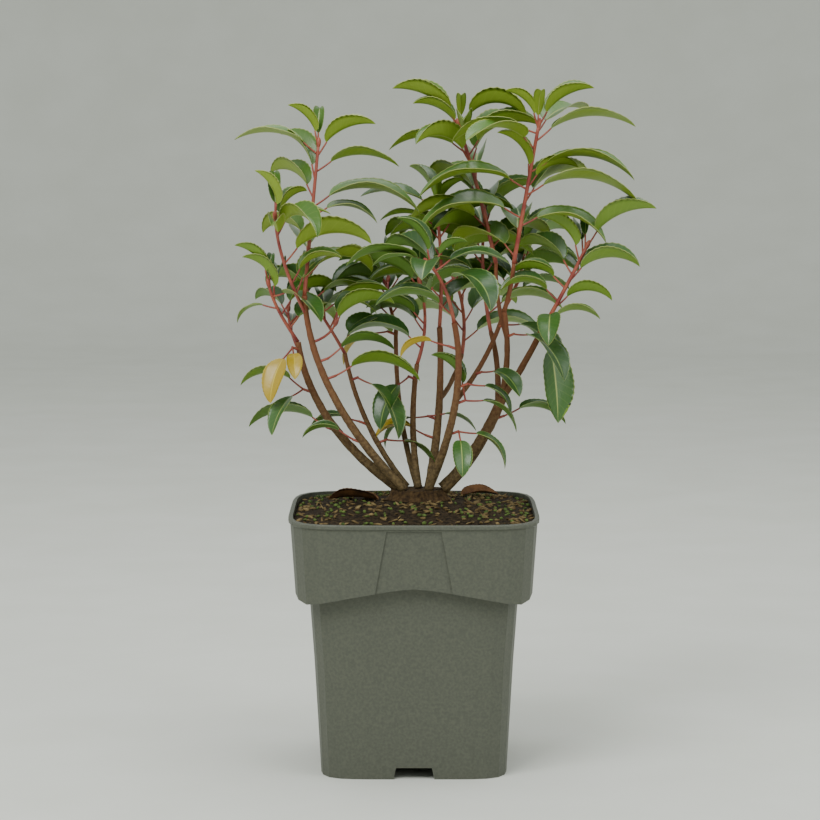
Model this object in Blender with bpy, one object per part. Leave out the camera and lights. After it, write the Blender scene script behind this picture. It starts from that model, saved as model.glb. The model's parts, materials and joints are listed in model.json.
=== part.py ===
"""Portuguese laurel in a square nursery pot.

A young shrub with eight stems from one root crown stands in its filled plastic pot. Stems
and boughs are tapering tubes. Each foliage mass is one twig with its leaves fused on, placed
by a seeded rule from the tables below. Tables and sizes are in millimetres, the model is in
metres, +Z is up, the front is -Y, and the origin is the middle of the pot's flat underside.
"""

import math
import random
from collections import namedtuple

import bmesh
import bpy
import numpy as np
from mathutils import Matrix, Vector
from mathutils.bvhtree import BVHTree

MM = 0.001
GAP = 0.3
SEED = 11

# The tables give places as seen from the front, true in the pot's middle plane.
EYE_DISTANCE = 1790.0
EYE_HEIGHT = 421.0

# Pot
POT_HEIGHT = 160.0
WALL = 1.6
FLOOR = 2.2
BASE_HALF = 57.8
BODY_TOP_HALF = 65.0
BAND_LOW_HALF = 73.4
BAND_TOP_HALF = 76.2
LIP_HALF = 77.3
LIP_HEIGHT = 3.2
BASE_POWER = 6.6
RIM_POWER = 5.8
ARCH_TOP = 120.7
ARCH_DROP = 10.8
ARCH_REACH = 63.0
ARCH_POWER = 1.3
POT_POINTS = 56
PANEL_TOP = POT_HEIGHT - 3.9
PANEL_LOW = 105.0
PANEL_TOP_HALF = 16.6
PANEL_LOW_HALF = 25.8
PANEL_DEPTH = 0.9
NOTCH_TOP_HALF = 11.0
NOTCH_LOW_HALF = 12.5
NOTCH_HEIGHT = 7.2
PAD_HALF = 15.0
DRAIN_RADIUS = 4.0
OPEN_ABOVE = 5.0
DRAIN_PLACE = 34.0

# Soil
SOIL_EDGE = 156.6
SOIL_TOP = 165.0
SOIL_FLAT = 24.0
SOIL_RINGS = 4
SOIL_ROUGHNESS = 0.7

# Root crown
CROWN_CENTRE = (3.0, 0.0)
CROWN_RINGS = ((0.0, 21.0, 15.5), (2.5, 18.5, 13.5), (6.5, 17.0, 12.5))
CROWN_POINTS = 20
STEM_FOOT = SOIL_TOP + GAP + CROWN_RINGS[-1][0] + GAP

# Tubes
LIMB_SIDES = 8
TWIG_SIDES = 5
RING_STEP = 9.0
TWIG_STEP = 13.0
TWIG_TAPER = 0.75
SPUR_FIRST = 0.9
SPUR_LENGTH = 5.0
SPUR_RISE = 20.0
SPUR_RADII = (0.9, 0.8)
SCAN_STEP = 0.25
SCAN_REACH = 30.0
SCAN_SHARE = 0.8

# Leaves
PETIOLE = 10.0
PETIOLE_RADIUS = 0.55
LEAF_THICKNESS = 0.8
LEAF_WIDTH = 0.44
LEAF_RINGS = ((0.0, 0.1), (0.13, 0.72), (0.42, 1.0), (0.76, 0.64))
LIFT_LOW = 34.0
LIFT_HIGH = 50.0
MATURE_ARCH = 74.0
YOUNG_ARCH = 54.0
STEEPEST = -88.0
FOLD_LOW = 30.0
FOLD_HIGH = 56.0
FOLD_HANGING = 18.0
STEP_SPREAD = 1.2
JITTER = 7.0
TURN_TRIES = (0.0, 14.0, -14.0, 28.0, -28.0, 44.0, -44.0)
LIFT_TRIES = (0.0, 13.0, -13.0)
TEST_MARGIN = 0.45

COMPASS = {
    "R": 0.0, "BR": 45.0, "B": 90.0, "BL": 135.0,
    "L": 180.0, "FL": 225.0, "F": 270.0, "FR": 315.0,
}
LENGTH_MARKS = {"+": 1.22, "-": 0.75}
LIFT_MARKS = {"^": 18.0, "d": -18.0, "v": -38.0}
CURL_MARK = "c"
CURL = 50.0

Limb = namedtuple("Limb", "name parent at tip bow radii")
Shoot = namedtuple("Shoot", "name parent at tip bow radius leaves first length lift")

# Stems and boughs: parent, share of the parent's length, tip (across, depth, height),
# sideways and upward bow, radii at foot and tip. A stem's parent is its foot on the crown.
STEMS = (
    Limb("stem_outer_left", (-10.0, 2.0), 0, (-72, 12, 264), (-12, -3), (3.2, 1.8)),
    Limb("stem_left", (-6.0, -7.0), 0, (-68, -8, 293), (-14, 0), (2.9, 1.6)),
    Limb("stem_thin_left", (-4.0, 8.0), 0, (-43, 16, 257), (-5, -3), (1.9, 1.3)),
    Limb("stem_back_left", (2.0, 9.5), 0, (-11, 44, 274), (-4, -2), (1.9, 1.3)),
    Limb("stem_middle_left", (3.0, 2.0), 0, (2, 20, 250), (-3, 0), (2.3, 1.5)),
    Limb("stem_middle", (9.5, 5.5), 0, (16, 34, 273), (3, 0), (2.9, 1.7)),
    Limb("stem_front", (9.0, -7.0), 0, (25, -32, 276), (9, 4), (2.7, 1.7)),
    Limb("stem_right", (18.0, -1.5), 0, (55, 2, 229), (2, -4), (4.2, 3.1)),
)
BOUGHS = (
    Limb("bough_right", "stem_right", 1.0, (80, -4, 272), (0, -2), (2.3, 1.8)),
    Limb("bough_inner", "stem_right", 0.9, (48, 26, 270), (2, 2), (1.9, 1.5)),
    Limb("bough_upper", "stem_right", 0.97, (56, -2, 283), (3, 0), (2.0, 1.6)),
    Limb("bough_cross", "stem_front", 0.5, (57, 34, 286), (3, -2), (1.7, 1.3)),
    Limb("bough_top_middle", "bough_upper", 0.7, (51, 10, 313), (-2, 0), (1.4, 1.2)),
    Limb("bough_top_right", "bough_upper", 1.0, (62, -10, 313), (1, 0), (1.5, 1.2)),
    Limb("bough_back", "stem_middle", 0.55, (30, 66, 256), (0, -4), (1.7, 1.3)),
)

# Leafy shoots: as above, with one radius, the leaves from the lowest up, the share of the
# twig where they start, their length, and how far they are lifted. Leaves go by even steps
# along the twig: a dot is a step without one, a slash joins leaves of one step. A leaf is a
# direction (R right, L left, F front, B back), + long, - short, ^ erect, d drooping, v hanging,
# c curled.
SHOOTS = (
    Shoot("shoot_left_top", "stem_left", 1.0, (-59, 2, 386), (0, 0), 1.3,
          "BR . B . BL- . . Rd- R+d BL- . BL^- Rd . Ld/R- L^--/B^--", 0.12, 48, 0),
    Shoot("shoot_left_front", "stem_left", 0.9, (-86, -26, 341), (-4, 2), 1.2,
          "BR^ R^- . R+ . F- FRc Rd-/BR^- B^-/L^^-", 0.2, 40, 0),
    Shoot("shoot_outer_left", "stem_outer_left", 1.0, (-90, 10, 299), (-3, 2), 1.2,
          "BR . BR Ldd-- L^^- FRv/B . L^-/B^--", 0.2, 38, 0),
    Shoot("shoot_low_left", "stem_outer_left", 0.93, (-78, 38, 284), (-2, 1), 1.0,
          "B BR- BL- BR^-", 0.45, 36, -5),
    Shoot("shoot_thin_left", "stem_thin_left", 1.0, (-66, 26, 293), (-1, 3), 1.1,
          "BR . R^ B Rd- BL Rd- B^-", 0.1, 40, 0),
    Shoot("shoot_side_left", "stem_left", 0.76, (-49, -2, 275), (2, -1), 0.9,
          ". R^ . BR^--", 0.5, 38, -6),
    Shoot("shoot_back_left", "stem_back_left", 1.0, (-16, 62, 302), (-2, 2), 1.2,
          "L BR L B FL R BL L- B^-", 0.12, 42, 0),
    Shoot("shoot_middle_left", "stem_middle_left", 1.0, (4, 24, 300), (4, 0), 1.2,
          "L . BL L- F . R- L B^-", 0.2, 42, 0),
    Shoot("shoot_middle", "stem_middle", 1.0, (14, 20, 346), (2, 2), 1.3,
          "BR L B . R+ BL . R/BLd- Ld- . Ld/BL^-/F^--/R^--", 0.15, 44, 0),
    Shoot("shoot_front", "stem_front", 1.0, (9, -50, 313), (2, 3), 1.2,
          "L . . FRdc BL L+d/Rd L-v/Fv/L^-/R--", 0.1, 40, 0),
    Shoot("shoot_top_middle", "bough_top_middle", 1.0, (28, 4, 398), (1, 0), 1.4,
          "BR . L B . BL . B . FL/BR^ Ld/R F- L- L/Rc/F^--", 0.12, 44, 0),
    Shoot("shoot_top_right", "bough_top_right", 1.0, (77, -14, 398), (0, 0), 1.4,
          "BL . B . Rd L+d . BR R+d R--/L+d L^^-- R+d . . FLd R+d Lv R-/L^--/F^--/BRd",
          0.05, 50, 0),
    Shoot("shoot_right", "bough_right", 1.0, (107, -8, 323), (0, -1), 1.4,
          "R- . Fv- R- L- . L- R BL . L^- B- R+/B^--", 0.04, 40, 0),
    Shoot("shoot_inner", "bough_inner", 1.0, (44, 44, 340), (-3, 2), 1.3,
          "R B L BR L+ FL B R^ L^-", 0.15, 44, 0),
    Shoot("shoot_back", "bough_back", 1.0, (24, 92, 306), (4, 2), 1.3,
          "R BL BR L B FR BL R^ B^-", 0.15, 44, 0),
    Shoot("shoot_back_right", "bough_cross", 1.0, (68, 62, 318), (3, 2), 1.3,
          "R- BL FR B R- L BR B^ R^-", 0.15, 42, 0),
)

# Leaves on the bare wood: host limb, share of its length, leaves of one short spur, their
# length and lift.
SPURS = (
    ("leaves_side_left", "stem_outer_left", 0.68, "L FLvv", 34, -2),
    ("leaf_low_left", "stem_outer_left", 0.42, "L", 42, -6),
    ("leaves_yellow_left", "stem_outer_left", 0.95, "FLvv Fvv-", 30, 0),
    ("leaf_foot_left", "stem_left", 0.24, "L", 26, -10),
    ("leaf_left", "stem_left", 0.57, "R+", 38, -10),
    ("leaf_left_upper", "stem_left", 0.66, "R", 34, 0),
    ("leaf_thin_low", "stem_thin_left", 0.36, "Rv", 32, -4),
    ("leaf_thin_middle", "stem_thin_left", 0.5, "L", 26, -22),
    ("leaf_thin_upper", "stem_thin_left", 0.82, "FRv+", 36, -16),
    ("leaf_yellow_middle", "stem_back_left", 0.95, "Lv", 28, -8),
    ("leaf_orange", "stem_middle", 0.3, "L", 26, -10),
    ("leaves_middle", "stem_middle", 0.42, "Lv Rv", 28, -10),
    ("leaf_middle_left", "stem_middle_left", 0.88, "FLvv", 32, 10),
    ("leaves_front_low", "stem_front", 0.3, "Rv Fvv", 30, -10),
    ("leaves_front_side", "stem_front", 0.48, "Rv L^", 30, 0),
    ("leaf_front_upper", "stem_front", 0.58, "Rv", 26, -6),
    ("leaf_yellow_front", "stem_front", 0.82, "L", 24, -24),
    ("leaf_cross_low", "bough_cross", 0.3, "FRv", 26, 0),
    ("leaf_cross_upper", "bough_cross", 0.8, "FRv+", 34, 0),
    ("leaf_upper", "bough_upper", 0.72, "FRv+", 34, 0),
    ("leaf_hanging", "bough_right", 0.93, "FRvv", 46, -30),
    ("leaf_right_low", "stem_right", 0.8, "R", 34, -20),
)

POT_GREY = ("pot plastic", (0.125, 0.135, 0.105), 0.55)
SOIL_BROWN = ("potting soil", (0.022, 0.015, 0.010), 0.95)
BARK_BROWN = ("bark", (0.150, 0.100, 0.055), 0.85)
LEAF_GREEN = ("laurel leaf", (0.090, 0.220, 0.045), 0.45)
LEAF_YELLOW = ("yellow leaf", (0.600, 0.480, 0.090), 0.55)


def clear_scene():
    """Remove whatever the file starts with."""
    for item in list(bpy.data.objects):
        bpy.data.objects.remove(item, do_unlink=True)


def material(finish):
    """Return the Principled material of a finish, made once."""
    name, colour, roughness = finish
    found = bpy.data.materials.get(name)
    if found:
        return found
    made = bpy.data.materials.new(name)
    made.use_nodes = True
    shader = made.node_tree.nodes["Principled BSDF"]
    shader.inputs["Base Color"].default_value = (*colour, 1.0)
    shader.inputs["Roughness"].default_value = roughness
    shader.inputs["Metallic"].default_value = 0.0
    return made


def add_object(name, vertices, faces, finish=None, collection=None):
    """Add a mesh object from millimetre vertices, in metres."""
    mesh = bpy.data.meshes.new(name)
    mesh.from_pydata([tuple(float(c) * MM for c in v) for v in vertices], [], faces)
    mesh.update()
    item = bpy.data.objects.new(name, mesh)
    (collection or bpy.context.scene.collection).objects.link(item)
    if finish:
        mesh.materials.append(material(finish))
    return item


def smooth(item, angle=40.0):
    """Shade a round piece smooth between its sharp edges."""
    item.data.shade_smooth()
    item.data.set_sharp_from_angle(angle=math.radians(angle))


def apply_boolean(item, operation, other=None, collection=None):
    """Join or cut one object by another, or by a collection, and keep the result."""
    modifier = item.modifiers.new("join", "BOOLEAN")
    modifier.operation = operation
    modifier.solver = "EXACT"
    if collection:
        modifier.operand_type = "COLLECTION"
        modifier.collection = collection
    else:
        modifier.object = other
    graph = bpy.context.evaluated_depsgraph_get()
    result = bpy.data.meshes.new_from_object(item.evaluated_get(graph))
    item.modifiers.clear()
    old = item.data
    item.data = result
    result.name = item.name
    bpy.data.meshes.remove(old)


def remove_object(item):
    """Remove an object with its mesh."""
    mesh = item.data
    bpy.data.objects.remove(item, do_unlink=True)
    bpy.data.meshes.remove(mesh)


def loft(rings):
    """Return the vertices and faces of a closed skin over rings of equal count."""
    count = len(rings[0])
    vertices = [point for ring in rings for point in ring]
    faces = [tuple(reversed(range(count)))]
    for low in range(0, len(vertices) - count, count):
        for k in range(count):
            n = (k + 1) % count
            faces.append((low + k, low + n, low + count + n, low + count + k))
    top = len(vertices) - count
    faces.append(tuple(range(top, top + count)))
    return vertices, faces


def square_ring(half, power, height):
    """Return one ring of a soft-cornered square. The height may follow the ring's sides."""
    ring = []
    for k in range(POT_POINTS):
        angle = 2.0 * math.pi * k / POT_POINTS
        c, s = math.cos(angle), math.sin(angle)
        reach = half / (abs(c) ** power + abs(s) ** power) ** (1.0 / power)
        x, y = reach * c, reach * s
        along = min(abs(x), abs(y))
        ring.append((x, y, height(along) if callable(height) else height))
    return ring


def arch(offset=0.0):
    """Return the band's lower edge as a height over the distance from mid-side."""
    def height(along):
        share = min(along, ARCH_REACH) / ARCH_REACH
        return ARCH_TOP + offset - ARCH_DROP * share ** ARCH_POWER
    return height


def add_bmesh(name, bm):
    """Add an object from a bmesh in millimetres, and free the bmesh."""
    bm.verts.index_update()
    vertices = [v.co[:] for v in bm.verts]
    faces = [[v.index for v in f.verts] for f in bm.faces]
    bm.free()
    return add_object(name, vertices, faces)


def box_cutter(name, x_range, y_range, z_range):
    """Return a box between the given limits."""
    bm = bmesh.new()
    bmesh.ops.create_cube(bm, size=1.0)
    size = [high - low for low, high in (x_range, y_range, z_range)]
    centre = [(high + low) / 2.0 for low, high in (x_range, y_range, z_range)]
    bmesh.ops.scale(bm, vec=size, verts=bm.verts)
    bmesh.ops.translate(bm, vec=centre, verts=bm.verts)
    return add_bmesh(name, bm)


def wedge_cutter(name, low_half, top_half, z_low, z_top, near, far):
    """Return a bar along -Y whose section is a trapezoid."""
    section = ((-low_half, z_low), (low_half, z_low), (top_half, z_top), (-top_half, z_top))
    rings = [[(x, -reach, z) for x, z in section] for reach in (near, far)]
    return add_object(name, *loft(rings))


def turned(item, quarter):
    """Turn a cutter about the pot's axis by quarter turns."""
    item.data.transform(Matrix.Rotation(quarter * math.pi / 2.0, 4, "Z"))
    return item


def cut_each_side(item, make_cutter):
    """Cut the same cutter into all four sides."""
    for quarter in range(4):
        cutter = turned(make_cutter(), quarter)
        apply_boolean(item, "DIFFERENCE", cutter)
        remove_object(cutter)


def filling(name, clearance, top_rings):
    """Return the solid that fills the pot, smaller by the clearance."""
    step = WALL + clearance
    rings = [
        square_ring(BASE_HALF - step, BASE_POWER, FLOOR + clearance),
        square_ring(BODY_TOP_HALF - step, RIM_POWER, arch(WALL + clearance)),
        square_ring(BAND_LOW_HALF - step, RIM_POWER, arch(WALL + clearance)),
    ]
    item = add_object(name, *loft(rings + top_rings))
    reach = BASE_HALF + 2.0 * WALL
    cover = NOTCH_LOW_HALF + step

    def channel_cover():
        return box_cutter("cover", (-cover, cover), (-reach, -PAD_HALF + step),
                          (-1.0, NOTCH_HEIGHT + step))

    cut_each_side(item, channel_cover)
    return item


def build_pot():
    """Build the square pot with its arched band, side panels and drainage notches."""
    rings = [
        square_ring(BASE_HALF, BASE_POWER, 0.0),
        square_ring(BODY_TOP_HALF - 3.2, RIM_POWER, 70.0),
        square_ring(BODY_TOP_HALF, RIM_POWER, arch(-0.6)),
        square_ring(BAND_LOW_HALF, RIM_POWER, arch()),
        square_ring(BAND_TOP_HALF, RIM_POWER, POT_HEIGHT - LIP_HEIGHT),
        square_ring(LIP_HALF, RIM_POWER, POT_HEIGHT - LIP_HEIGHT + 0.8),
        square_ring(LIP_HALF, RIM_POWER, POT_HEIGHT - 0.7),
        square_ring(LIP_HALF - 0.7, RIM_POWER, POT_HEIGHT),
    ]
    pot = add_object("pot", *loft(rings), POT_GREY)
    above = [square_ring(BAND_TOP_HALF - WALL, RIM_POWER, POT_HEIGHT + rise)
             for rise in (-LIP_HEIGHT, OPEN_ABOVE)]
    cavity = filling("cavity", 0.0, above)
    apply_boolean(pot, "DIFFERENCE", cavity)
    remove_object(cavity)

    def notch():
        return wedge_cutter("notch", NOTCH_LOW_HALF, NOTCH_TOP_HALF, -0.01, NOTCH_HEIGHT,
                            PAD_HALF, BASE_HALF + 10.0)

    def drain():
        bm = bmesh.new()
        bmesh.ops.create_cone(bm, cap_ends=True, segments=16, radius1=DRAIN_RADIUS,
                              radius2=DRAIN_RADIUS, depth=NOTCH_HEIGHT * 4.0)
        bmesh.ops.translate(bm, vec=(0.0, -DRAIN_PLACE, 0.0), verts=bm.verts)
        return add_bmesh("drain", bm)

    cut_each_side(pot, notch)
    cut_each_side(pot, drain)
    cut_each_side(pot, panel_cutter)
    pot.data.materials.clear()
    pot.data.materials.append(material(POT_GREY))
    smooth(pot, 30.0)
    return pot


def panel_cutter():
    """Return the cutter of one side panel, a shell that follows the band's slope."""
    lean = (BAND_TOP_HALF - BAND_LOW_HALF) / (POT_HEIGHT - LIP_HEIGHT - ARCH_TOP)
    rings = []
    for outward in (-PANEL_DEPTH, 10.0):
        ring = []
        for x, z in ((-PANEL_LOW_HALF, PANEL_LOW), (PANEL_LOW_HALF, PANEL_LOW),
                     (PANEL_TOP_HALF, PANEL_TOP), (-PANEL_TOP_HALF, PANEL_TOP)):
            ring.append((x, -(BAND_LOW_HALF + lean * (z - ARCH_TOP) + outward), z))
        rings.append(ring)
    return add_object("panel", *loft(rings))


def build_soil():
    """Build the soil that fills the pot, mounded and uneven on top."""
    rng = random.Random(SEED)
    edge_half = BAND_TOP_HALF - WALL - GAP
    top_rings = [square_ring(edge_half, RIM_POWER, SOIL_EDGE)]
    for k in range(1, SOIL_RINGS + 1):
        share = k / SOIL_RINGS
        half = edge_half + (SOIL_FLAT - edge_half) * share
        rise = SOIL_EDGE + (SOIL_TOP - SOIL_EDGE) * math.sin(share * math.pi / 2.0)
        ring = square_ring(half, 2.0 + (RIM_POWER - 2.0) * (1.0 - share), rise)
        if k < SOIL_RINGS:
            ring = [(x, y, z - rng.uniform(0.0, SOIL_ROUGHNESS)) for x, y, z in ring]
        top_rings.append(ring)
    soil = filling("soil", GAP, top_rings)
    soil.data.materials.clear()
    soil.data.materials.append(material(SOIL_BROWN))
    return soil


def build_root_crown():
    """Build the flared root crown, cut flat where it stands on the soil."""
    rng = random.Random(SEED + 1)
    lumps = [rng.uniform(0.9, 1.1) for _ in range(CROWN_POINTS)]
    rings = []
    for height, across, deep in CROWN_RINGS:
        ring = []
        for k, lump in enumerate(lumps):
            angle = 2.0 * math.pi * k / CROWN_POINTS
            ring.append((CROWN_CENTRE[0] + across * lump * math.cos(angle),
                         CROWN_CENTRE[1] + deep * lump * math.sin(angle),
                         SOIL_TOP + GAP + height))
        rings.append(ring)
    crown = add_object("root_crown", *loft(rings), BARK_BROWN)
    smooth(crown, 50.0)
    return crown


def placed(across, depth, height):
    """Return the real point that is seen at this place from the front."""
    scale = 1.0 + depth / EYE_DISTANCE
    return np.array((across * scale, depth, EYE_HEIGHT + (height - EYE_HEIGHT) * scale))


class Tube:
    """A tapering limb or twig along a curve, with its foot cut to its neighbours."""

    def __init__(self, start, tip, bow, radii):
        self.start = np.array(start, float)
        self.tip = np.array(tip, float)
        middle = (self.start + self.tip) / 2.0
        self.control = middle + 2.0 * np.array((bow[0], 0.0, bow[1]), float)
        self.radii = radii
        self.length = float(np.sum(np.linalg.norm(
            np.diff([self.point(t) for t in np.linspace(0.0, 1.0, 33)], axis=0), axis=1)))

    def point(self, t):
        """Return the middle of the tube at a share of its length."""
        return ((1.0 - t) ** 2 * self.start + 2.0 * t * (1.0 - t) * self.control
                + t ** 2 * self.tip)

    def direction(self, t):
        """Return the tube's unit direction there."""
        d = ((1.0 - t) * (self.control - self.start) + t * (self.tip - self.control))
        return d / np.linalg.norm(d)

    def radius(self, t):
        """Return the tube's radius there."""
        return self.radii[0] + (self.radii[1] - self.radii[0]) * t

    def side(self, t, angle):
        """Return the point of the skin at this share and angle."""
        return ring_about(self.point(t), self.direction(t), self.radius(t), (angle,))[0]

    def distance(self, points):
        """Return the distances from points to this tube's skin."""
        shares = np.linspace(0.0, 1.0, 25)
        knots = np.array([self.point(t) for t in shares])
        a, b = knots[:-1], knots[1:]
        run = b - a
        offset = points[:, None, :] - a[None]
        share = np.clip(np.sum(offset * run[None], axis=2) / np.sum(run * run, axis=1), 0.0, 1.0)
        gap = np.linalg.norm(offset - share[..., None] * run[None], axis=2)
        thick = self.radii[0] + (self.radii[1] - self.radii[0]) * (
            shares[:-1][None] + share * (shares[1] - shares[0]))
        return np.min(gap - thick, axis=1)


def exit_share(tube, path, neighbours):
    """Return the share at which a line of the tube has left all its neighbours."""
    steps = int(min(SCAN_REACH, tube.length * SCAN_SHARE) / SCAN_STEP)
    shares = np.arange(steps) * SCAN_STEP / tube.length
    points = np.array([path(t) for t in shares])
    close = np.zeros(steps, bool)
    for other in neighbours:
        close |= other.distance(points) < GAP
    last = np.flatnonzero(close)
    return shares[last[-1]] + SCAN_STEP / tube.length if len(last) else 0.0


def ring_about(place, direction, radius, angles):
    """Return the points of a round ring about a direction."""
    across = np.cross(direction, (0.0, 1.0, 0.0))
    across /= np.linalg.norm(across)
    deep = np.cross(direction, across)
    return [place + radius * (math.cos(a) * across + math.sin(a) * deep) for a in angles]


def flat_foot(tube, angles):
    """Return a level foot ring, and the share where the full tube starts."""
    d = tube.direction(0.0)
    foot = []
    for p in ring_about(tube.point(0.0), d, tube.radius(0.0), angles):
        foot.append(p + d * (tube.start[2] - p[2]) / d[2])
    return foot, 2.0 * tube.radius(0.0) / tube.length


def seated_foot(tube, parent, angles):
    """Return a foot ring that faces the parent's tip, and where the full tube starts."""
    d = parent.direction(1.0)
    foot = ring_about(parent.point(1.0) + GAP * d, d, tube.radius(0.0), angles)
    cosine = max(0.4, float(np.dot(d, tube.direction(0.0))))
    rise = GAP + tube.radius(0.0) * math.sqrt(1.0 - cosine * cosine)
    return foot, rise / cosine / tube.length


def fitted_foot(tube, neighbours, angles):
    """Return a foot ring cut to the flanks it grows from, and where the full tube starts."""
    shares = []
    for angle in angles:
        shares.append(exit_share(tube, lambda t, a=angle: tube.side(t, a), neighbours))
    return [tube.side(t, a) for t, a in zip(shares, angles)], max(shares)


def tube_mesh(tube, sides, step, foot_rule):
    """Return the closed mesh of a tube whose foot fits what it grows from."""
    angles = [2.0 * math.pi * k / sides for k in range(sides)]
    foot, first = foot_rule(tube, angles)
    count = max(2, round(tube.length * (1.0 - first) / step))
    shares = np.linspace(first + 1.0 / tube.length, 1.0, count + 1)
    rings = [foot]
    for t in shares:
        rings.append(ring_about(tube.point(t), tube.direction(t), tube.radius(t), angles))
    return loft(rings)


def foot_of(row, tubes):
    """Return the rule for the foot of a row: on its parent's tip, or on its flank."""
    if row.at >= 1.0:
        return lambda tube, angles: seated_foot(tube, tubes[row.parent], angles)
    return lambda tube, angles: fitted_foot(tube, list(tubes.values()), angles)


def unit(azimuth, elevation):
    """Return the unit vector at a compass angle and a height angle, in degrees."""
    a, e = math.radians(azimuth), math.radians(elevation)
    return np.array((math.cos(a) * math.cos(e), math.sin(a) * math.cos(e), math.sin(e)))


Leaf = namedtuple("Leaf", "root azimuth lift arch length fold roll petiole")


def leaf_frames(leaf):
    """Yield place, side direction, upper direction and width share along a leaf."""
    place = leaf.root + unit(leaf.azimuth, leaf.lift + 8.0) * leaf.petiole
    previous = 0.0
    for share, width in LEAF_RINGS + ((1.0, 0.0),):
        middle = (previous + share) / 2.0
        place = place + unit(leaf.azimuth, leaf.lift - leaf.arch * middle) * (
            leaf.length * (share - previous))
        previous = share
        forward = unit(leaf.azimuth, leaf.lift - leaf.arch * share)
        side = unit(leaf.azimuth + 90.0, 0.0)
        upper = np.cross(forward, side)
        roll = math.radians(leaf.roll)
        turned_side = math.cos(roll) * side + math.sin(roll) * upper
        turned_upper = math.cos(roll) * upper - math.sin(roll) * side
        yield place, turned_side, turned_upper, width


def leaf_mesh(leaf, margin=0.0, blade_only=False):
    """Return a closed folded blade on its stalk. The margin thickens it for a test."""
    half = leaf.length * LEAF_WIDTH / 2.0 + margin
    thick = LEAF_THICKNESS / 2.0 + margin
    fold = math.radians(leaf.fold)
    rings = []
    if not blade_only:
        forward = unit(leaf.azimuth, leaf.lift + 8.0)
        side = unit(leaf.azimuth + 90.0, 0.0)
        upper = np.cross(forward, side)
        radius = PETIOLE_RADIUS + margin
        rings.append([leaf.root + radius * v for v in (side, upper, -side, -upper)])
    frames = list(leaf_frames(leaf))
    for place, side, upper, width in frames[:-1]:
        reach = max(half * width, PETIOLE_RADIUS + margin)
        rise = reach * math.sin(fold) * upper
        out = reach * math.cos(fold) * side
        rings.append([place + out + rise, place + thick * upper,
                      place - out + rise, place - thick * upper])
    vertices = [p for ring in rings for p in ring] + [frames[-1][0]]
    faces = [(0, 3, 1), (1, 3, 2)]
    for low in range(0, 4 * (len(rings) - 1), 4):
        for edge, middle in ((0, 1), (2, 1), (2, 3), (0, 3)):
            quad = ((low + middle, low + edge, low + 4 + edge),
                    (low + middle, low + 4 + edge, low + 4 + middle))
            flip = (edge, middle) in ((0, 1), (2, 3))
            faces.extend(tuple(reversed(t)) if flip else t for t in quad)
    last = 4 * (len(rings) - 1)
    tip = len(vertices) - 1
    for edge, middle in ((0, 1), (2, 1), (2, 3), (0, 3)):
        triangle = (last + middle, last + edge, tip)
        flip = (edge, middle) in ((0, 1), (2, 3))
        faces.append(tuple(reversed(triangle)) if flip else triangle)
    return vertices, faces


def bvh(mesh):
    """Return a search tree of a mesh, with its box."""
    vertices, faces = mesh
    points = np.array(vertices)
    tree = BVHTree.FromPolygons([Vector(p) for p in points], faces, all_triangles=False)
    return tree, points.min(axis=0), points.max(axis=0)


def touches(one, other):
    """Tell whether two search trees overlap."""
    if np.any(one[1] > other[2]) or np.any(other[1] > one[2]):
        return False
    return bool(one[0].overlap(other[0]))


def read_leaf(mark):
    """Return a leaf mark's compass angle, length factor, lift and extra curl."""
    letters = mark.rstrip("+-^dvc")
    scale = 1.0
    lift = 0.0
    for sign in mark[len(letters):]:
        scale *= LENGTH_MARKS.get(sign, 1.0)
        lift += LIFT_MARKS.get(sign, 0.0)
    return COMPASS[letters], scale, lift, CURL if CURL_MARK in mark else 0.0


def shoot_leaves(shoot, tube, rng):
    """Yield the leaves of a shoot from the lowest to the tip."""
    steps = shoot.leaves.split()
    for k, step in enumerate(steps):
        grown_share = k / max(1, len(steps) - 1)
        for place, mark in enumerate(step.split("/")):
            if mark == ".":
                continue
            share = shoot.first + (1.0 - shoot.first) * grown_share
            share = min(share, 1.0 - 0.4 / tube.length) - place * STEP_SPREAD / tube.length
            azimuth, scale, lift, curl = read_leaf(mark)
            young = max(0.0, 3.0 * grown_share - 2.0)
            rise = LIFT_LOW + (LIFT_HIGH - LIFT_LOW) * grown_share + lift + shoot.lift
            rise += rng.uniform(-4.0, 4.0)
            bend = MATURE_ARCH + (YOUNG_ARCH - MATURE_ARCH) * young + curl
            bend = min(bend + rng.uniform(-6.0, 6.0), rise - STEEPEST)
            fold = FOLD_LOW + (FOLD_HIGH - FOLD_LOW) * grown_share ** 0.5
            yield Leaf(
                root=tube.point(share),
                azimuth=azimuth + rng.uniform(-JITTER, JITTER),
                lift=rise,
                arch=bend,
                length=shoot.length * scale * (1.0 - 0.12 * young) * rng.uniform(0.95, 1.05),
                fold=fold if lift >= 0.0 else FOLD_HANGING,
                roll=rng.uniform(-12.0, 12.0),
                petiole=PETIOLE * (0.6 + 0.4 * scale) + tube.radius(share),
            )


def settle_leaf(leaf, obstacles, own_blades):
    """Turn a leaf by small steps until it is clear, or return None."""
    for lift in LIFT_TRIES:
        for turn in TURN_TRIES:
            tried = leaf._replace(azimuth=leaf.azimuth + turn, lift=leaf.lift + lift)
            test = bvh(leaf_mesh(tried, TEST_MARGIN))
            if any(touches(test, other) for other in obstacles):
                continue
            blade = bvh(leaf_mesh(tried, 0.0, blade_only=True))
            if any(touches(blade, other) for other in own_blades):
                continue
            return tried
    return None


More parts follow.
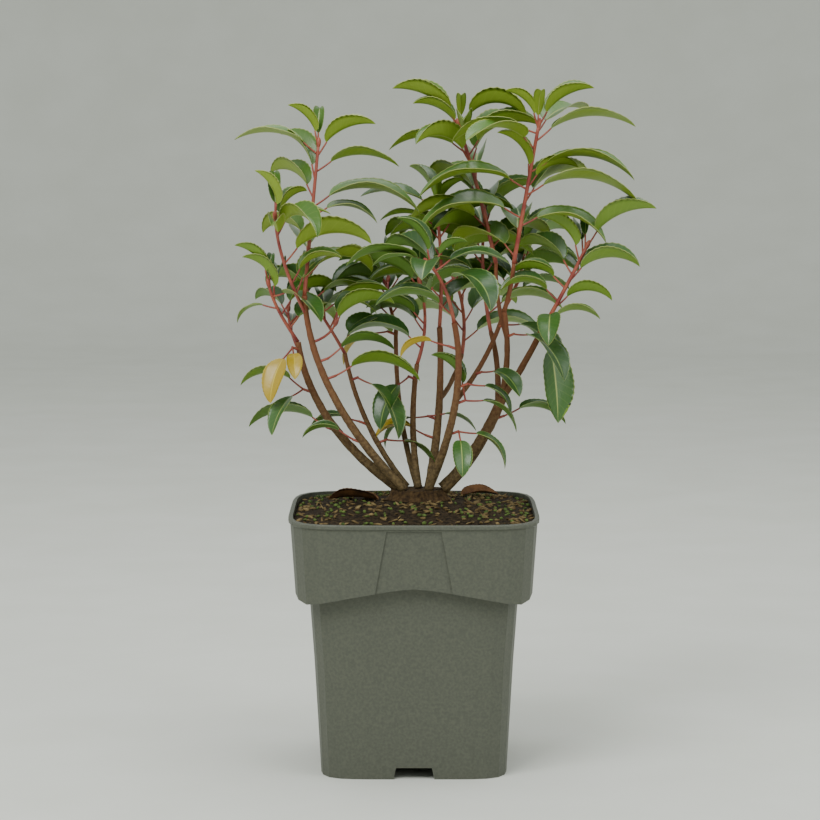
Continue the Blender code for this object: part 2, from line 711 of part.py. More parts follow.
def keep_largest(mesh):
    """Drop loose scraps and sealed hollows, keeping the largest closed skin."""
    bm = bmesh.new()
    bm.from_mesh(mesh)
    left = set(bm.verts)
    islands = []
    while left:
        island = set()
        stack = [left.pop()]
        while stack:
            vertex = stack.pop()
            island.add(vertex)
            for edge in vertex.link_edges:
                other = edge.other_vert(vertex)
                if other in left:
                    left.remove(other)
                    stack.append(other)
        islands.append(island)
    islands.sort(key=len)
    for island in islands[:-1]:
        bmesh.ops.delete(bm, geom=list(island), context="VERTS")
    bm.to_mesh(mesh)
    bm.free()
    return len(islands) - 1


def build_mass(name, twig, leaves, finish):
    """Fuse the leaves of one mass onto its twig."""
    mass = add_object(name, *twig, finish)
    group = bpy.data.collections.new(name + "_leaves")
    bpy.context.scene.collection.children.link(group)
    for k, leaf in enumerate(leaves):
        add_object(f"{name}_leaf_{k}", *leaf_mesh(leaf), collection=group)
    apply_boolean(mass, "UNION", collection=group)
    for item in list(group.objects):
        remove_object(item)
    bpy.data.collections.remove(group)
    keep_largest(mass.data)
    mass.data.materials.clear()
    mass.data.materials.append(material(finish))
    return mass


def grown(row, tubes, radii):
    """Return the tube of a row that grows from its parent."""
    return Tube(tubes[row.parent].point(row.at), placed(*row.tip), row.bow, radii)


def tips_first(rows):
    """Return the rows with those that go on from a parent's tip first."""
    return sorted(rows, key=lambda row: row.at < 1.0)


def build_limbs():
    """Build stems and boughs, and return their tubes and their meshes by name."""
    tubes = {}
    meshes = {}
    for stem in STEMS:
        start = (stem.parent[0], stem.parent[1], STEM_FOOT)
        tubes[stem.name] = Tube(start, placed(*stem.tip), stem.bow, stem.radii)
        meshes[stem.name] = tube_mesh(tubes[stem.name], LIMB_SIDES, RING_STEP, flat_foot)
    for bough in BOUGHS:
        tube = grown(bough, tubes, bough.radii)
        meshes[bough.name] = tube_mesh(tube, LIMB_SIDES, RING_STEP, foot_of(bough, tubes))
        tubes[bough.name] = tube
    return tubes, meshes


def build_twigs(tubes):
    """Return the mesh, the row and the tube of each mass's twig by name."""
    twigs = {}
    taken = dict(tubes)
    for shoot in tips_first(SHOOTS):
        tube = grown(shoot, taken, (shoot.radius, TWIG_TAPER * shoot.radius))
        mesh = tube_mesh(tube, TWIG_SIDES, TWIG_STEP, foot_of(shoot, taken))
        taken[shoot.name] = tube
        twigs[shoot.name] = (mesh, shoot, tube)
    for name, host, share, marks, length, lift in SPURS:
        row = Shoot(name, host, share, None, None, None, marks, SPUR_FIRST, length, lift)
        tube = spur_tube(tubes[host], share, marks)
        mesh = tube_mesh(tube, TWIG_SIDES, TWIG_STEP, foot_of(row, tubes))
        twigs[name] = (mesh, row, tube)
    return twigs


def spur_tube(host, share, marks):
    """Return the short spur that carries leaves on bare wood."""
    azimuth = read_leaf(marks.split()[0])[0]
    start = host.point(share)
    tip = start + unit(azimuth, SPUR_RISE) * (host.radius(share) + SPUR_LENGTH)
    return Tube(start, tip, (0.0, 0.0), SPUR_RADII)


def ground_sheet():
    """Return a level test surface just above the soil and the pot's rim."""
    half = LIP_HALF + 4.0
    height = SOIL_TOP + 1.0
    return ([(-half, -half, height), (half, -half, height), (half, half, height),
             (-half, half, height)], [(0, 1, 2, 3)])


def main():
    """Build the pot, the soil and the whole plant."""
    clear_scene()
    build_pot()
    build_soil()
    build_root_crown()
    tubes, meshes = build_limbs()
    for name, mesh in meshes.items():
        smooth(add_object(name, *mesh, BARK_BROWN), 50.0)

    twigs = build_twigs(tubes)
    solids = {name: bvh(mesh) for name, mesh in meshes.items()}
    solids.update({name: bvh(mesh) for name, (mesh, row, tube) in twigs.items()})
    solids["ground"] = bvh(ground_sheet())
    masses = {}
    blades = []
    for name, (mesh, row, tube) in twigs.items():
        rng = random.Random(f"{SEED} {name}")
        obstacles = [tree for other, tree in solids.items() if other != name]
        obstacles += [tree for owner, tree in blades if owner != name]
        kept = []
        own = []
        for leaf in shoot_leaves(row, tube, rng):
            settled = settle_leaf(leaf, obstacles, own)
            if settled is None:
                print("skipped a leaf of", name)
                continue
            kept.append(settled)
            own.append(bvh(leaf_mesh(settled, 0.0, blade_only=True)))
        blades += [(name, bvh(leaf_mesh(leaf))) for leaf in kept]
        masses[name] = kept
    for name, leaves in masses.items():
        finish = LEAF_YELLOW if "yellow" in name else LEAF_GREEN
        build_mass(name, twigs[name][0], leaves, finish)
    print("leaves", sum(len(leaves) for leaves in masses.values()))


if __name__ == "__main__":
    main()
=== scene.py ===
"""Looks of a young Portuguese laurel in its square nursery pot.

The limbs get bark relief, each foliage mass becomes fine folded leaves on red stalks, and
the pot, the root crown and the soil keep their solids and get their real finish. Tables and
sizes are in millimetres, as in the part's own source, and meshes are in metres.
"""
import json
import logging
import math
import random
from collections.abc import Callable
from dataclasses import dataclass
from enum import Enum

import bmesh
import bpy
from mathutils import Matrix, Vector, noise

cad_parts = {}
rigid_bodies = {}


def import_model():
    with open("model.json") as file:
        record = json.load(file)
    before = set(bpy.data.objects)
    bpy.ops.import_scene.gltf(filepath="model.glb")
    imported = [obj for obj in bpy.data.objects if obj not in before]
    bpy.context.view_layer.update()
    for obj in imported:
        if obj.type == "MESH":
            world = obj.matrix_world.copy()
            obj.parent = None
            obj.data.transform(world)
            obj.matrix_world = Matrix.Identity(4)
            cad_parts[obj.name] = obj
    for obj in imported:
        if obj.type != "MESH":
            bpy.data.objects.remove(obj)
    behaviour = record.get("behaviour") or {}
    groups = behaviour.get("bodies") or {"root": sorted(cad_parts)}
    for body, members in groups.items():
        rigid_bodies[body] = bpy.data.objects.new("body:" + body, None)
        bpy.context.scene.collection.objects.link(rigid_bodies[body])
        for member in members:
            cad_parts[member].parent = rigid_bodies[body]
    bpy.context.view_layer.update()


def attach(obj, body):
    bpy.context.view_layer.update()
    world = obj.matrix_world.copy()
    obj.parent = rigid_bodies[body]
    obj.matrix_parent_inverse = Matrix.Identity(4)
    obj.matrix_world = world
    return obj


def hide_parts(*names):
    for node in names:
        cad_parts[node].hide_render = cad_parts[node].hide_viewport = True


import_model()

LOG = logging.getLogger("laurel")

MM = 0.001
SEED = 11
PHOTO_SIZE = 820

# Camera that saw the plant, solved from the pot's edges
EYE = (-2.4, -1790.0, 420.8)
EYE_PITCH = 6.356
FOCAL_PIXELS = 2885.1
SENSOR = 36.0

# The tables' places are as seen from this distance and height: the camera's, in whole millimetres
TABLE_DISTANCE = 1790.0
TABLE_HEIGHT = 421.0

# Where the stems stand, and the ellipse round them that litter keeps clear of
SOIL_TOP = 165.0
STEM_FOOT = SOIL_TOP + 7.1
POT_INNER_HALF = 73.0
CROWN_MIDDLE = 3.0
CROWN_ACROSS = 21.0
CROWN_DEEP = 16.0

# Limbs and twigs
LIMB_SIDES = 14
LIMB_STEP = 2.2
TWIG_SIDES = 9
TWIG_STEP = 4.0
TWIG_TAPER = 0.75
PETIOLE_SIDES = 6
PETIOLE_POINTS = 5
CURVE_KNOTS = 32
FEWEST_RINGS = 3
SAME_POINT = 0.001
SPUR_FIRST = 0.9
SPUR_LENGTH = 5.0
SPUR_RISE = 20.0
SPUR_RADII = (0.9, 0.8)

# Bark: height and size of its lumps and grain on a limb of the full radius, and the
# swollen nodes along it
BARK_FULL_RADIUS = 3.0
BARK_LUMPS = 0.28
BARK_LUMP_SIZE = 6.0
BARK_GRAIN = 0.16
BARK_GRAIN_SIZE = 1.7
NODE_STEP = 17.0
NODE_SWELL = 0.16
NODE_SHARPNESS = 12

# Buds: half sizes, how far ahead of the twig's end they sit, and faces round and along
BUD_HALF_SIZES = (1.5, 1.5, 3.4)
BUD_AHEAD = 1.6
BUD_SIDES = 10
BUD_RINGS = 8

# Stalks: length, least share of it on a small leaf, radius, taper, degrees above the
# blade's lift, sag, and how far they run into the blade
PETIOLE = 10.0
PETIOLE_LEAST = 0.6
PETIOLE_RADIUS = 0.62
PETIOLE_TAPER = 0.8
PETIOLE_RISE = 8.0
PETIOLE_SAG = -0.3
PETIOLE_OVERLAP = 0.5

# Blades: width and widest place as shares of the length, the outline's powers towards the
# base and the tip, the teeth on the rim, the fold's curve, and waves in the surface
LEAF_WIDTH = 0.54
LEAF_THICKNESS = 0.32
LEAF_STATIONS = 26
LEAF_COLUMNS = 8
WIDEST = 0.42
BASE_CURVE = (2.3, 0.62)
TIP_CURVE = (2.1, 0.9)
SERRATION = 0.045
RIM = 0.95
FOLD_CURVE = 1.1
WAVE_HEIGHT = 0.05
WAVES_ALONG = 9.0
WAVES_ACROSS = 2.0

# Leaf rule: lift, arch and fold in degrees, room along the twig in millimetres, and how
# far each leaf strays from the rule
LIFT_LOW = 34.0
LIFT_HIGH = 50.0
MATURE_ARCH = 74.0
YOUNG_ARCH = 54.0
STEEPEST = -88.0
FOLD_LOW = 30.0
FOLD_HIGH = 56.0
FOLD_HANGING = 18.0
STEP_SPREAD = 1.2
TIP_CLEARANCE = 0.4
YOUNG_SHORTER = 0.12
AZIMUTH_JITTER = 7.0
LIFT_JITTER = 4.0
ARCH_JITTER = 6.0
ROLL_JITTER = 12.0
LENGTH_JITTER = 0.05

# Leaf marks: compass letters, and what each sign adds to the length, lift or arch
LEAF_SIGNS = "+-^dvc"
COMPASS = {
    "R": 0.0, "BR": 45.0, "B": 90.0, "BL": 135.0,
    "L": 180.0, "FL": 225.0, "F": 270.0, "FR": 315.0,
}
LENGTH_MARKS = {"+": 1.22, "-": 0.75}
LIFT_MARKS = {"^": 18.0, "d": -18.0, "v": -38.0}
CURL_MARK = "c"
CURL = 50.0

# Finishes: octaves of the grain, where its two tones stand, depth of the bump as a share
# of its size, and the roughness of any coat
GRAIN_OCTAVES = 6.0
LOW_TONE = 0.36
HIGH_TONE = 0.66
BUMP_DEPTH = 0.4
COAT_ROUGHNESS = 0.25

# Colour inputs and output of a Mix node, which holds such sockets for each kind of data
MIX_FIRST = 6
MIX_SECOND = 7
MIX_RESULT = 2


@dataclass(frozen=True)
class Limb:
    """One tapering stem or bough of the tables."""

    name: str
    parent: tuple | str
    at: float
    tip: tuple
    bow: tuple
    radii: tuple


@dataclass(frozen=True)
class Shoot:
    """One leafy twig of the tables."""

    name: str
    parent: str
    at: float
    tip: tuple
    bow: tuple
    radius: float
    leaves: str
    first: float
    length: float
    lift: float


# Stems and boughs: parent, share of the parent's length, tip (across, depth, height),
# sideways and upward bow, radii at foot and tip. A stem's parent is its foot on the crown.
STEMS = (
    Limb("stem_outer_left", (-10.0, 2.0), 0, (-72, 12, 264), (-12, -3), (3.2, 1.8)),
    Limb("stem_left", (-6.0, -7.0), 0, (-68, -8, 293), (-14, 0), (2.9, 1.6)),
    Limb("stem_thin_left", (-4.0, 8.0), 0, (-43, 16, 257), (-5, -3), (1.9, 1.3)),
    Limb("stem_back_left", (2.0, 9.5), 0, (-11, 44, 274), (-4, -2), (1.9, 1.3)),
    Limb("stem_middle_left", (3.0, 2.0), 0, (2, 20, 250), (-3, 0), (2.3, 1.5)),
    Limb("stem_middle", (9.5, 5.5), 0, (16, 34, 273), (3, 0), (2.9, 1.7)),
    Limb("stem_front", (9.0, -7.0), 0, (25, -32, 276), (9, 4), (2.7, 1.7)),
    Limb("stem_right", (18.0, -1.5), 0, (55, 2, 229), (2, -4), (4.2, 3.1)),
)
BOUGHS = (
    Limb("bough_right", "stem_right", 1.0, (80, -4, 272), (0, -2), (2.3, 1.8)),
    Limb("bough_inner", "stem_right", 0.9, (48, 26, 270), (2, 2), (1.9, 1.5)),
    Limb("bough_upper", "stem_right", 0.97, (56, -2, 283), (3, 0), (2.0, 1.6)),
    Limb("bough_cross", "stem_front", 0.5, (57, 34, 286), (3, -2), (1.7, 1.3)),
    Limb("bough_top_middle", "bough_upper", 0.7, (51, 10, 313), (-2, 0), (1.4, 1.2)),
    Limb("bough_top_right", "bough_upper", 1.0, (62, -10, 313), (1, 0), (1.5, 1.2)),
    Limb("bough_back", "stem_middle", 0.55, (30, 66, 256), (0, -4), (1.7, 1.3)),
)

# Leafy shoots: as above, with one radius, the leaves from the lowest up, the share of the
# twig where they start, their length, and how far they are lifted. Leaves go by even steps
# along the twig: a dot is a step without one, a slash joins leaves of one step. A leaf is a
# direction (R right, L left, F front, B back), + long, - short, ^ erect, d drooping, v hanging,
# c curled.
SHOOTS = (
    Shoot("shoot_left_top", "stem_left", 1.0, (-59, 2, 386), (0, 0), 1.3,
          "BR . B . BL- . . Rd- R+d BL- . BL^- Rd . Ld/R- L^--/B^--", 0.12, 48, 0),
    Shoot("shoot_left_front", "stem_left", 0.9, (-86, -26, 341), (-4, 2), 1.2,
          "BR^ R^- . R+ . F- FRc Rd-/BR^- B^-/L^^-", 0.2, 40, 0),
    Shoot("shoot_outer_left", "stem_outer_left", 1.0, (-90, 10, 299), (-3, 2), 1.2,
          "BR . BR Ldd-- L^^- FRv/B . L^-/B^--", 0.2, 38, 0),
    Shoot("shoot_low_left", "stem_outer_left", 0.93, (-78, 38, 284), (-2, 1), 1.0,
          "B BR- BL- BR^-", 0.45, 36, -5),
    Shoot("shoot_thin_left", "stem_thin_left", 1.0, (-66, 26, 293), (-1, 3), 1.1,
          "BR . R^ B Rd- BL Rd- B^-", 0.1, 40, 0),
    Shoot("shoot_side_left", "stem_left", 0.76, (-49, -2, 275), (2, -1), 0.9,
          ". R^ . BR^--", 0.5, 38, -6),
    Shoot("shoot_back_left", "stem_back_left", 1.0, (-16, 62, 302), (-2, 2), 1.2,
          "L BR L B FL R BL L- B^-", 0.12, 42, 0),
    Shoot("shoot_middle_left", "stem_middle_left", 1.0, (4, 24, 300), (4, 0), 1.2,
          "L . BL L- F . R- L B^-", 0.2, 42, 0),
    Shoot("shoot_middle", "stem_middle", 1.0, (14, 20, 346), (2, 2), 1.3,
          "BR L B . R+ BL . R/BLd- Ld- . Ld/BL^-/F^--/R^--", 0.15, 44, 0),
    Shoot("shoot_front", "stem_front", 1.0, (9, -50, 313), (2, 3), 1.2,
          "L . . FRdc BL L+d/Rd L-v/Fv/L^-/R--", 0.1, 40, 0),
    Shoot("shoot_top_middle", "bough_top_middle", 1.0, (28, 4, 398), (1, 0), 1.4,
          "BR . L B . BL . B . FL/BR^ Ld/R F- L- L/Rc/F^--", 0.12, 44, 0),
    Shoot("shoot_top_right", "bough_top_right", 1.0, (77, -14, 398), (0, 0), 1.4,
          "BL . B . Rd L+d . BR R+d R--/L+d L^^-- R+d . . FLd R+d Lv R-/L^--/F^--/BRd",
          0.05, 50, 0),
    Shoot("shoot_right", "bough_right", 1.0, (107, -8, 323), (0, -1), 1.4,
          "R- . Fv- R- L- . L- R BL . L^- B- R+/B^--", 0.04, 40, 0),
    Shoot("shoot_inner", "bough_inner", 1.0, (44, 44, 340), (-3, 2), 1.3,
          "R B L BR L+ FL B R^ L^-", 0.15, 44, 0),
    Shoot("shoot_back", "bough_back", 1.0, (24, 92, 306), (4, 2), 1.3,
          "R BL BR L B FR BL R^ B^-", 0.15, 44, 0),
    Shoot("shoot_back_right", "bough_cross", 1.0, (68, 62, 318), (3, 2), 1.3,
          "R- BL FR B R- L BR B^ R^-", 0.15, 42, 0),
)

# Leaves on the bare wood: host limb, share of its length, leaves of one short spur, their
# length and lift.
SPURS = (
    ("leaves_side_left", "stem_outer_left", 0.68, "L FLvv", 34, -2),
    ("leaf_low_left", "stem_outer_left", 0.42, "L", 42, -6),
    ("leaves_yellow_left", "stem_outer_left", 0.95, "FLvv Fvv-", 30, 0),
    ("leaf_foot_left", "stem_left", 0.24, "L", 26, -10),
    ("leaf_left", "stem_left", 0.57, "R+", 38, -10),
    ("leaf_left_upper", "stem_left", 0.66, "R", 34, 0),
    ("leaf_thin_low", "stem_thin_left", 0.36, "Rv", 32, -4),
    ("leaf_thin_middle", "stem_thin_left", 0.5, "L", 26, -22),
    ("leaf_thin_upper", "stem_thin_left", 0.82, "FRv+", 36, -16),
    ("leaf_yellow_middle", "stem_back_left", 0.95, "Lv", 28, -8),
    ("leaf_orange", "stem_middle", 0.3, "L", 26, -10),
    ("leaves_middle", "stem_middle", 0.42, "Lv Rv", 28, -10),
    ("leaf_middle_left", "stem_middle_left", 0.88, "FLvv", 32, 10),
    ("leaves_front_low", "stem_front", 0.3, "Rv Fvv", 30, -10),
    ("leaves_front_side", "stem_front", 0.48, "Rv L^", 30, 0),
    ("leaf_front_upper", "stem_front", 0.58, "Rv", 26, -6),
    ("leaf_yellow_front", "stem_front", 0.82, "L", 24, -24),
    ("leaf_cross_low", "bough_cross", 0.3, "FRv", 26, 0),
    ("leaf_cross_upper", "bough_cross", 0.8, "FRv+", 34, 0),
    ("leaf_upper", "bough_upper", 0.72, "FRv+", 34, 0),
    ("leaf_hanging", "bough_right", 0.93, "FRvv", 46, -30),
    ("leaf_right_low", "stem_right", 0.8, "R", 34, -20),
)


class Shade(Enum):
    """Leaf colours that are dealt out by spray: top, underside, rib, each as sRGB hex."""

    LIGHT = ("4c7226", "7f962a", "b9c26a")
    MIDDLE = ("3a6124", "6c8a27", "a5b25c")
    DARK = ("2b4f1d", "587a2a", "91a654")
    YELLOW = ("a98f1e", "bfa634", "cdbb50")


YOUNG_SPRAYS = ("shoot_left_top", "shoot_top_middle", "shoot_top_right", "shoot_left_front")
MIDDLE_SPRAYS = ("shoot_right", "shoot_outer_left", "shoot_thin_left", "shoot_middle",
                 "shoot_side_left", "leaf_left", "leaves_side_left", "leaf_hanging",
                 "shoot_back", "shoot_inner", "leaves_front_low", "leaf_thin_upper")


def shade_of(name: str) -> Shade:
    """Choose the shade of a spray.

    Args:
        name: The spray's node name.

    Returns:
        Its shade.
    """
    if "yellow" in name or "orange" in name:
        return Shade.YELLOW
    if name in YOUNG_SPRAYS:
        return Shade.LIGHT
    return Shade.MIDDLE if name in MIDDLE_SPRAYS else Shade.DARK


def linear(code: str) -> tuple:
    """Turn an sRGB hex colour into a linear one.

    Args:
        code: Six hex digits.

    Returns:
        Red, green, blue and alpha.
    """
    values = [int(code[k:k + 2], 16) / 255.0 for k in (0, 2, 4)]
    # The numbers are those of the sRGB standard's curve
    curve = [v / 12.92 if v <= 0.04045 else ((v + 0.055) / 1.055) ** 2.4 for v in values]
    return (*curve, 1.0)


def grey(value: float) -> tuple:
    """Return the grey of a linear value."""
    return (value, value, value, 1.0)


def add_node(tree: bpy.types.NodeTree, kind: str, links: dict | None = None,
             **settings: object) -> bpy.types.Node:
    """Add a node with its settings and links.

    Args:
        tree: The node tree.
        kind: The node's type name.
        links: Input name or index to a value or an output socket.
        settings: Attributes to set on the node.

    Returns:
        The new node.
    """
    node = tree.nodes.new(kind)
    for key, value in settings.items():
        setattr(node, key, value)
    for key, value in (links or {}).items():
        socket = node.inputs[key]
        if isinstance(value, bpy.types.NodeSocket):
            tree.links.new(value, socket)
        else:
            socket.default_value = value
    return node


def ramp(tree: bpy.types.NodeTree, source: bpy.types.NodeSocket,
         stops: tuple) -> bpy.types.NodeSocket:
    """Add a colour ramp.

    Args:
        tree: The node tree.
        source: The socket that drives it.
        stops: Pairs of position and colour.

    Returns:
        The ramp's colour socket.
    """
    node = add_node(tree, "ShaderNodeValToRGB", {"Fac": source})
    elements = node.color_ramp.elements
    while len(elements) < len(stops):
        elements.new(0.5)
    for element, (place, colour) in zip(elements, stops):
        element.position = place
        element.color = colour
    return node.outputs["Color"]


@dataclass(frozen=True)
class Finish:
    """A finish whose colour wanders between two tones, with a bump of the same grain."""

    name: str
    low: str
    high: str
    grain_mm: float
    roughness: float
    bump: float
    bump_mm: float
    specular: float = 0.5
    coat: float = 0.0

    def start(self) -> tuple:
        """Make an empty Principled material.

        Returns:
            The material, its tree and its shader.
        """
        made = bpy.data.materials.new(self.name)
        made.use_nodes = True
        tree = made.node_tree
        shader = tree.nodes["Principled BSDF"]
        shader.inputs["Roughness"].default_value = self.roughness
        shader.inputs["Specular IOR Level"].default_value = self.specular
        shader.inputs["Coat Weight"].default_value = self.coat
        shader.inputs["Coat Roughness"].default_value = COAT_ROUGHNESS
        return made, tree, shader

    def grain(self, tree: bpy.types.NodeTree, scale_mm: float) -> bpy.types.NodeSocket:
        """Add a noise in real millimetres.

        Args:
            tree: The node tree.
            scale_mm: The size of its patches.

        Returns:
            The noise socket.
        """
        place = add_node(tree, "ShaderNodeTexCoord").outputs["Object"]
        links = {"Vector": place, "Scale": 1.0 / (scale_mm * MM), "Detail": GRAIN_OCTAVES}
        return add_node(tree, "ShaderNodeTexNoise", links).outputs["Fac"]

    def colour(self, tree: bpy.types.NodeTree) -> bpy.types.NodeSocket:
        """Return the colour socket between the two tones.

        Args:
            tree: The node tree.

        Returns:
            A colour socket.
        """
        tones = ((LOW_TONE, linear(self.low)), (HIGH_TONE, linear(self.high)))
        return ramp(tree, self.grain(tree, self.grain_mm), tones)

    def build(self) -> bpy.types.Material:
        """Make the material.

        Returns:
            The material.
        """
        made, tree, shader = self.start()
        tree.links.new(self.colour(tree), shader.inputs["Base Color"])
        height = self.grain(tree, self.bump_mm)
        bump = add_node(tree, "ShaderNodeBump", {
            "Height": height, "Strength": self.bump, "Distance": self.bump_mm * MM * BUMP_DEPTH})
        tree.links.new(bump.outputs["Normal"], shader.inputs["Normal"])
        return made


@dataclass(frozen=True)
class BarkFinish(Finish):
    """Bark that is dark at the foot and reddens upwards."""

    top: str = "7b4931"
    foot_mm: float = 185.0
    top_mm: float = 300.0

    def colour(self, tree: bpy.types.NodeTree) -> bpy.types.NodeSocket:
        """Blend the old bark into the young by height.

        Args:
            tree: The node tree.

        Returns:
            A colour socket.
        """
        place = add_node(tree, "ShaderNodeTexCoord").outputs["Object"]
        height = add_node(tree, "ShaderNodeSeparateXYZ", {0: place}).outputs["Z"]
        share = add_node(tree, "ShaderNodeMapRange", {
            "Value": height, "From Min": self.foot_mm * MM, "From Max": self.top_mm * MM}).outputs["Result"]
        mix = add_node(tree, "ShaderNodeMix", {
            "Factor": share, MIX_FIRST: super().colour(tree), MIX_SECOND: linear(self.top),
        }, data_type="RGBA")
        return mix.outputs[MIX_RESULT]


@dataclass(frozen=True)
class LeafFinish(Finish):
    """One side of a leaf: its tone, and a pale rib, margin and veins.

    The rib and margin are shares of the half width, and the veins' waves run along the leaf.
    """

    rib: str = "a5b562"
    rib_share: float = 0.07
    margin_from: float = 0.93
    margin_full: float = 0.99
    margin_strength: float = 0.8
    vein_lean: float = -0.16
    vein_waves: float = 62.0
    vein_from: float = 0.90
    vein_strength: float = 0.09

    def colour(self, tree: bpy.types.NodeTree) -> bpy.types.NodeSocket:
        """Draw the rib, veins and margin over the blade's tone.

        Args:
            tree: The node tree.

        Returns:
            A colour socket.
        """
        blade = super().colour(tree)
        place = add_node(tree, "ShaderNodeUVMap", uv_map="leaf").outputs["UV"]
        parts = add_node(tree, "ShaderNodeSeparateXYZ", {0: place})
        across = add_node(tree, "ShaderNodeMath", {0: parts.outputs["Y"]},
                          operation="ABSOLUTE").outputs[0]
        rib = ramp(tree, across, ((0.0, grey(1.0)), (self.rib_share, grey(0.0))))
        margin = ramp(tree, across, (
            (self.margin_from, grey(0.0)), (self.margin_full, grey(self.margin_strength))))
        lean = add_node(tree, "ShaderNodeMath", {0: across, 1: self.vein_lean, 2: parts.outputs["X"]},
                        operation="MULTIPLY_ADD").outputs[0]
        wave = add_node(tree, "ShaderNodeMath", {0: lean, 1: self.vein_waves},
                        operation="MULTIPLY").outputs[0]
        sine = add_node(tree, "ShaderNodeMath", {0: wave}, operation="SINE").outputs[0]
        veins = ramp(tree, sine, ((self.vein_from, grey(0.0)), (1.0, grey(self.vein_strength))))
        both = add_node(tree, "ShaderNodeMath", {0: rib, 1: margin}, operation="MAXIMUM").outputs[0]
        lines = add_node(tree, "ShaderNodeMath", {0: both, 1: veins}, operation="MAXIMUM").outputs[0]
        mix = add_node(tree, "ShaderNodeMix", {
            "Factor": lines, MIX_FIRST: blade, MIX_SECOND: linear(self.rib)}, data_type="RGBA")
        return mix.outputs[MIX_RESULT]


# Moulded nursery plastic: matte and faintly speckled, greyed by dust
POT_FINISH = Finish("pot_plastic", "4d5046", "575a4e", grain_mm=1.6, roughness=0.5, bump=0.1, bump_mm=0.7,
                    specular=0.35)
# Moist compost: near black crumbs with brown fibre, and no shine
SOIL_FINISH = Finish("compost", "17120c", "3d3222", grain_mm=2.4, roughness=0.95, bump=1.0, bump_mm=2.2,
                     specular=0.15)
# Laurel bark: grey-brown and finely cracked at the foot, smoother and redder above
BARK_FINISH = BarkFinish("bark", "483b25", "6d5c3c", grain_mm=1.8, roughness=0.8, bump=0.6, bump_mm=0.9,
                         specular=0.25)
# Bark of the root crown: the oldest, dark and damp
CROWN_FINISH = Finish("crown_bark", "2c2012", "4f3d24", grain_mm=2.2, roughness=0.85, bump=0.8, bump_mm=1.6,
                      specular=0.2)
# Bark of this year's twigs: smooth, with a soft shine, from red to pink
TWIG_FINISH = Finish("red_twig", "80302a", "a4573f", grain_mm=9.0, roughness=0.45, bump=0.15, bump_mm=0.8)
# Chipped bark and straw: dull, from brown to buff
CHIP_FINISH = Finish("bark_chips", "46361f", "83724c", grain_mm=6.0, roughness=0.9, bump=0.6, bump_mm=1.0,
                     specular=0.2)
# Moss: soft and dull, in two greens
MOSS_FINISH = Finish("moss", "39491f", "5d7132", grain_mm=3.0, roughness=0.8, bump=0.4, bump_mm=0.8,
                     specular=0.3)
# Fallen leaves: dry, brown and leathery
DRY_FINISH = Finish("dry_leaf", "3c2612", "6b4827", grain_mm=8.0, roughness=0.7, bump=0.5, bump_mm=1.2,
                    specular=0.3)
# Sweep of pale paper: matte and plain
SWEEP_FINISH = Finish("sweep", "d2d5cc", "d6d9d1", grain_mm=90.0, roughness=0.9, bump=0.0, bump_mm=1.0,
                      specular=0.1)


def placed(across: float, depth: float, height: float) -> Vector:
    """Return the real point that is seen at this place from the front.

    Args:
        across: Place across in the pot's middle plane.
        depth: Real depth.
        height: Height in the pot's middle plane.

    Returns:
        The point in millimetres.
    """
    scale = 1.0 + depth / TABLE_DISTANCE
    return Vector((across * scale, depth, TABLE_HEIGHT + (height - TABLE_HEIGHT) * scale))


def unit(azimuth: float, elevation: float) -> Vector:
    """Return a unit vector from compass and height angles.

    Args:
        azimuth: Degrees from +X.
        elevation: Degrees above level.

    Returns:
        The vector.
    """
    a, e = math.radians(azimuth), math.radians(elevation)
    return Vector((math.cos(a) * math.cos(e), math.sin(a) * math.cos(e), math.sin(e)))


@dataclass
class Tube:
    """A tapering limb or twig along a quadratic curve."""

    start: Vector
    tip: Vector
    bow: tuple
    radii: tuple

    def __post_init__(self) -> None:
        """Work out the curve's control point and length."""
        self.control = (self.start + self.tip) / 2.0 + 2.0 * Vector((self.bow[0], 0.0, self.bow[1]))
        knots = [self.point(k / CURVE_KNOTS) for k in range(CURVE_KNOTS + 1)]
        self.length = sum((b - a).length for a, b in zip(knots, knots[1:]))

    def point(self, t: float) -> Vector:
        """Return the middle at a share of the length.

        Args:
            t: The share.

        Returns:
            The point.
        """
        return (1.0 - t) ** 2 * self.start + 2.0 * t * (1.0 - t) * self.control + t ** 2 * self.tip

    def direction(self, t: float) -> Vector:
        """Return the unit direction there.

        Args:
            t: The share.

        Returns:
            The direction.
        """
        d = (1.0 - t) * (self.control - self.start) + t * (self.tip - self.control)
        return d.normalized()

    def radius(self, t: float) -> float:
        """Return the radius there.

        Args:
            t: The share.

        Returns:
            The radius.
        """
        return self.radii[0] + (self.radii[1] - self.radii[0]) * t

    def bark(self, place: Vector, t: float) -> float:
        """Return how high the bark stands over the round limb there.

        Args:
            place: The point on the round limb.
            t: The share.

        Returns:
            The height in millimetres.
        """
        lumps = noise.noise(place / BARK_LUMP_SIZE) * BARK_LUMPS
        lumps += noise.noise(place / BARK_GRAIN_SIZE) * BARK_GRAIN
        ring = max(0.0, math.cos(2.0 * math.pi * t * self.length / NODE_STEP)) ** NODE_SHARPNESS
        return lumps * self.radius(t) / BARK_FULL_RADIUS + NODE_SWELL * ring


